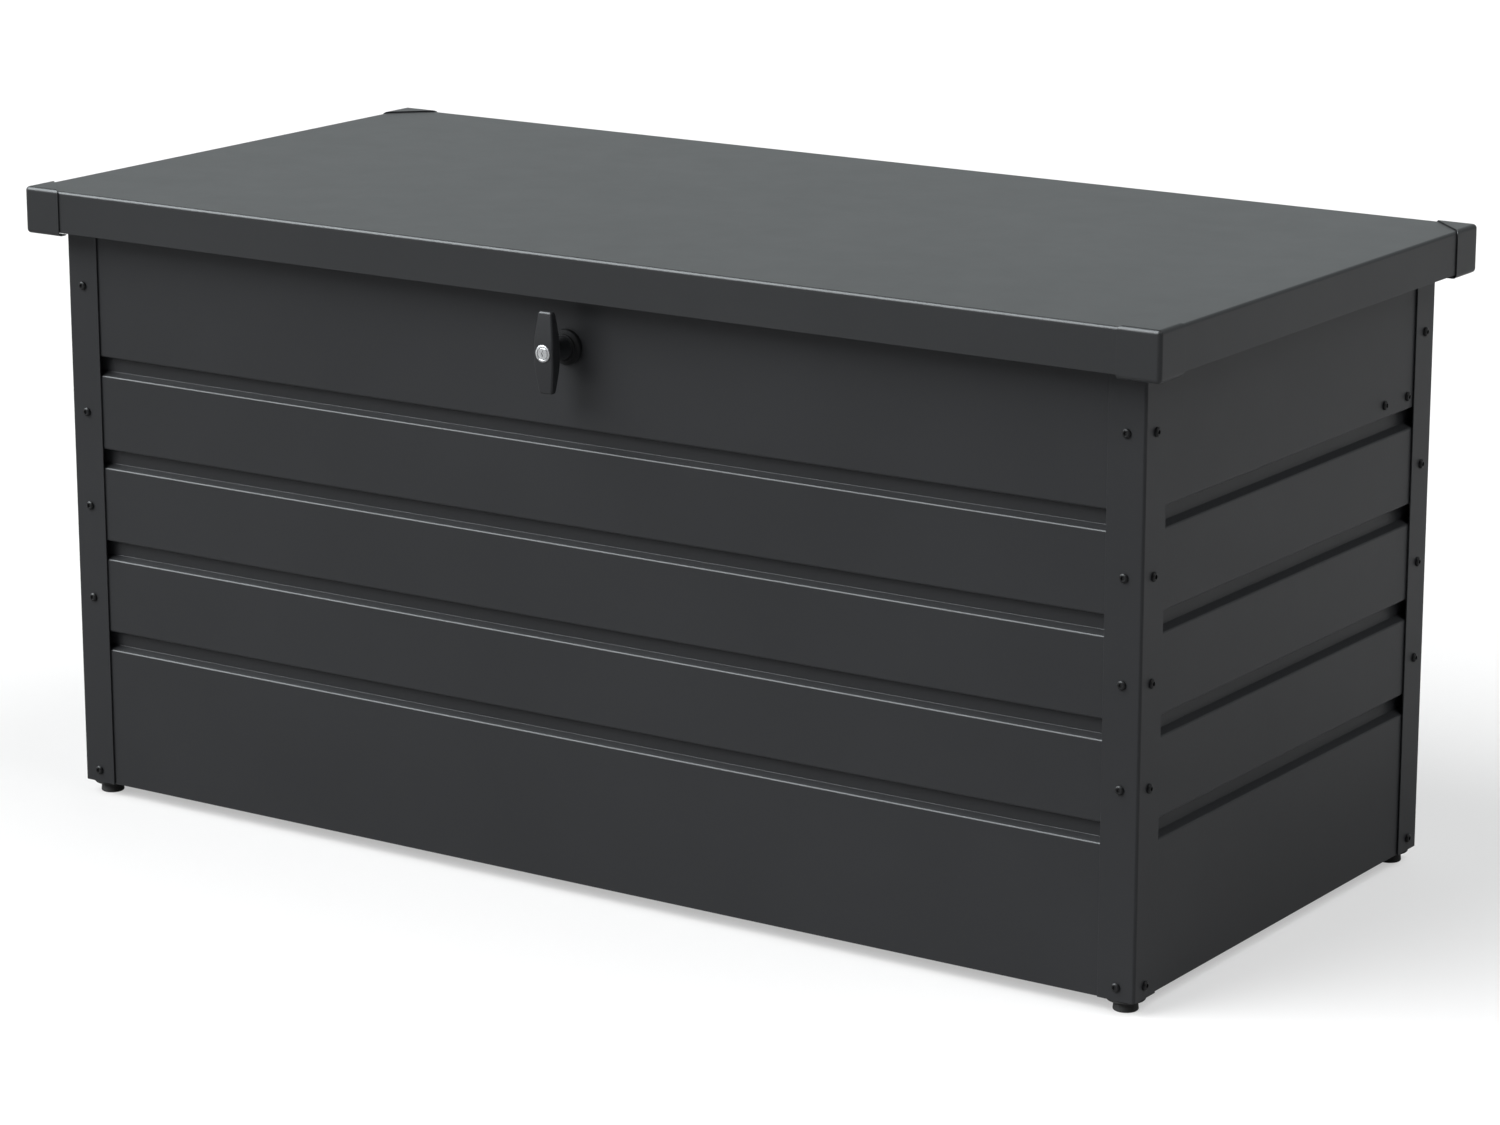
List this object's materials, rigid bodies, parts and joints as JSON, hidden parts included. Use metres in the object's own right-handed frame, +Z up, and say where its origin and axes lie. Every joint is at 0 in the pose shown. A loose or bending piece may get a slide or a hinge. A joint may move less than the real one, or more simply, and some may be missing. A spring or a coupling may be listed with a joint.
{
  "type": "deck storage box",
  "caption": "Long steel garden storage box with ribbed walls, corner posts, rubber feet, a hinged lid held by gas struts, and a turning T-handle lock.",
  "frame": {"origin": "centre of the outline on the ground, level with the soles of the feet", "axes": "+X along the box to its right end, -Y out of the front with the lock, +Z up"},
  "size_m": [1.36, 0.66, 0.6645],
  "materials": {
    "anthracite_powder_coat": "fine-textured matt powder coat",
    "lid_powder_coat": "fine-textured matt powder coat",
    "zinc_plated_steel": "bright zinc plating",
    "satin_nickel": "satin nickel plating",
    "black_enamel": "semi-gloss black enamel",
    "black_rubber": "matt rubber",
    "black_plastic": "moulded glass-filled plastic"
  },
  "bodies": {
    "box": {"corner_post_front_left": "anthracite_powder_coat", "corner_post_front_right": "anthracite_powder_coat", "corner_post_back_left": "anthracite_powder_coat", "corner_post_back_right": "anthracite_powder_coat", "front_panel": "anthracite_powder_coat", "back_panel": "anthracite_powder_coat", "left_end_panel": "anthracite_powder_coat", "right_end_panel": "anthracite_powder_coat", "base_rail_front": "anthracite_powder_coat", "base_rail_back": "anthracite_powder_coat", "base_rail_left": "anthracite_powder_coat", "base_rail_right": "anthracite_powder_coat", "rim_rail_front": "anthracite_powder_coat", "rim_rail_back": "anthracite_powder_coat", "rim_rail_left": "anthracite_powder_coat", "rim_rail_right": "anthracite_powder_coat", "floor_panel": "anthracite_powder_coat", "floor_stiffener_left": "anthracite_powder_coat", "floor_stiffener_right": "anthracite_powder_coat", "foot_front_left": "black_rubber", "foot_front_right": "black_rubber", "foot_back_left": "black_rubber", "foot_back_right": "black_rubber", "lid_buffer_left": "black_rubber", "lid_buffer_right": "black_rubber", "hinge_left_body_leaf": "black_enamel", "hinge_left_pin": "zinc_plated_steel", "strut_left_body_bracket": "zinc_plated_steel", "hinge_right_body_leaf": "black_enamel", "hinge_right_pin": "zinc_plated_steel", "strut_right_body_bracket": "zinc_plated_steel", "lock_rosette": "anthracite_powder_coat", "lock_nut": "zinc_plated_steel"},
    "lid": {"lid_panel": "lid_powder_coat", "lid_cap_front_left": "lid_powder_coat", "lid_cap_front_right": "lid_powder_coat", "lid_cap_back_left": "lid_powder_coat", "lid_cap_back_right": "lid_powder_coat", "lid_stiffener_left": "lid_powder_coat", "lid_stiffener_right": "lid_powder_coat", "lock_keeper": "zinc_plated_steel", "hinge_left_lid_leaf": "black_enamel", "strut_left_lid_bracket": "zinc_plated_steel", "hinge_right_lid_leaf": "black_enamel", "strut_right_lid_bracket": "zinc_plated_steel"},
    "handle": {"t_handle": "anthracite_powder_coat", "lock_cylinder": "satin_nickel", "lock_spindle": "zinc_plated_steel", "lock_cam": "zinc_plated_steel", "lock_cam_screw": "zinc_plated_steel"},
    "key_plug": {"lock_key_plug": "satin_nickel"},
    "strut_left_tube": {"strut_left_cylinder": "black_enamel", "strut_left_lower_socket": "black_plastic"},
    "strut_left_piston": {"strut_left_rod": "satin_nickel", "strut_left_upper_socket": "black_plastic"},
    "strut_right_tube": {"strut_right_cylinder": "black_enamel", "strut_right_lower_socket": "black_plastic"},
    "strut_right_piston": {"strut_right_rod": "satin_nickel", "strut_right_upper_socket": "black_plastic"}
  },
  "joints": [
    {"name": "lid_hinge", "type": "hinge", "parent": "box", "child": "lid", "pos_m": [0, 0.31295, 0.624], "axis": [-1, 0, 0], "range_deg": [0, 85]},
    {"name": "handle_turn", "type": "hinge", "parent": "box", "child": "handle", "pos_m": [0, -0.28815, 0.566], "axis": [0, 1, 0], "range_deg": [0, 90]},
    {"name": "key_turn", "type": "hinge", "parent": "handle", "child": "key_plug", "pos_m": [0, -0.32995, 0.566], "axis": [0, 1, 0], "range_deg": [0, 90]},
    {"name": "strut_left_swing", "type": "hinge", "parent": "box", "child": "strut_left_tube", "pos_m": [-0.612, 0.22295, 0.5], "axis": [-1, 0, 0], "range_deg": [0, 72.67]},
    {"name": "strut_left_slide", "type": "slide", "parent": "strut_left_tube", "child": "strut_left_piston", "axis": [0, -0.9054, 0.4246], "range_m": [0, 0.1883]},
    {"name": "strut_right_swing", "type": "hinge", "parent": "box", "child": "strut_right_tube", "pos_m": [0.612, 0.22295, 0.5], "axis": [-1, 0, 0], "range_deg": [0, 72.67]},
    {"name": "strut_right_slide", "type": "slide", "parent": "strut_right_tube", "child": "strut_right_piston", "axis": [0, -0.9054, 0.4246], "range_m": [0, 0.1883]}
  ],
  "couplings": [
    {"joint": "strut_left_swing", "follows": "lid_hinge", "ratio": 0.8548},
    {"joint": "strut_left_slide", "follows": "lid_hinge", "m_per_rad": 0.12671},
    {"joint": "strut_right_swing", "follows": "lid_hinge", "ratio": 0.8548},
    {"joint": "strut_right_slide", "follows": "lid_hinge", "m_per_rad": 0.12671}
  ]
}
